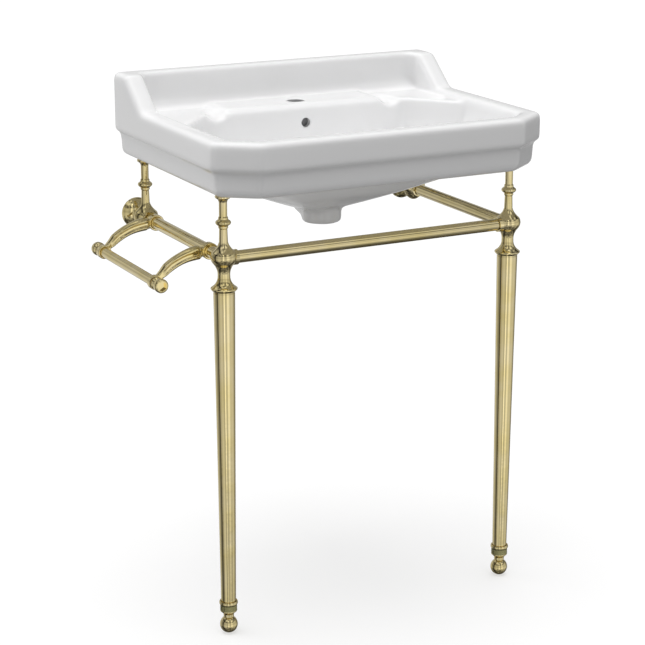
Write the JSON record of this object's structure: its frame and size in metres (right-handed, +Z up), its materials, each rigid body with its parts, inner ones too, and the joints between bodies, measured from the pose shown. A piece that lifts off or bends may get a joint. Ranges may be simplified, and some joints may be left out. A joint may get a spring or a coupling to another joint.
{
  "type": "console washbasin with legs",
  "caption": "White china console basin with splashback and tap deck on a turned brass front frame with legs and a side towel rail.",
  "frame": {"origin": "on the wall plane at the back of the basin, in the middle of its width, at the height of the two wall bolts, 840 mm above the floor", "axes": "+Z up, +Y into the wall (the basin reaches forward along -Y), +X to the right of someone who stands in front and looks at the wall"},
  "size_m": [0.7267, 0.489, 0.963],
  "materials": {
    "china": "white gloss glaze",
    "brass": "polished, pale gold",
    "cushion": "soft translucent"
  },
  "bodies": {
    "stand": {"basin": "china", "pad_front_left": "cushion", "pad_front_right": "cushion", "pad_rear_left": "cushion", "pad_rear_right": "cushion", "crossbar": "brass", "knuckle_front_left": "brass", "knuckle_front_right": "brass", "knuckle_rear_left": "brass", "knuckle_rear_right": "brass", "post_front_left": "brass", "post_front_right": "brass", "post_rear_left": "brass", "post_rear_right": "brass", "rail_left": "brass", "rail_right": "brass", "flange_left": "brass", "flange_right": "brass", "leg_left": "brass", "leg_right": "brass", "ferrule_left": "brass", "ferrule_right": "brass", "bush_left": "brass", "bush_right": "brass", "towel_arm_front": "brass", "towel_arm_rear": "brass", "towel_bar": "brass", "finial_front": "brass", "finial_rear": "brass"},
    "level_foot_left": {"foot_left": "brass"},
    "level_foot_right": {"foot_right": "brass"}
  },
  "joints": [
    {"name": "level_left", "type": "slide", "parent": "stand", "child": "level_foot_left", "axis": [0, 0, -1], "range_m": [-0.002, 0.012]},
    {"name": "level_right", "type": "slide", "parent": "stand", "child": "level_foot_right", "axis": [0, 0, -1], "range_m": [-0.002, 0.012]}
  ]
}
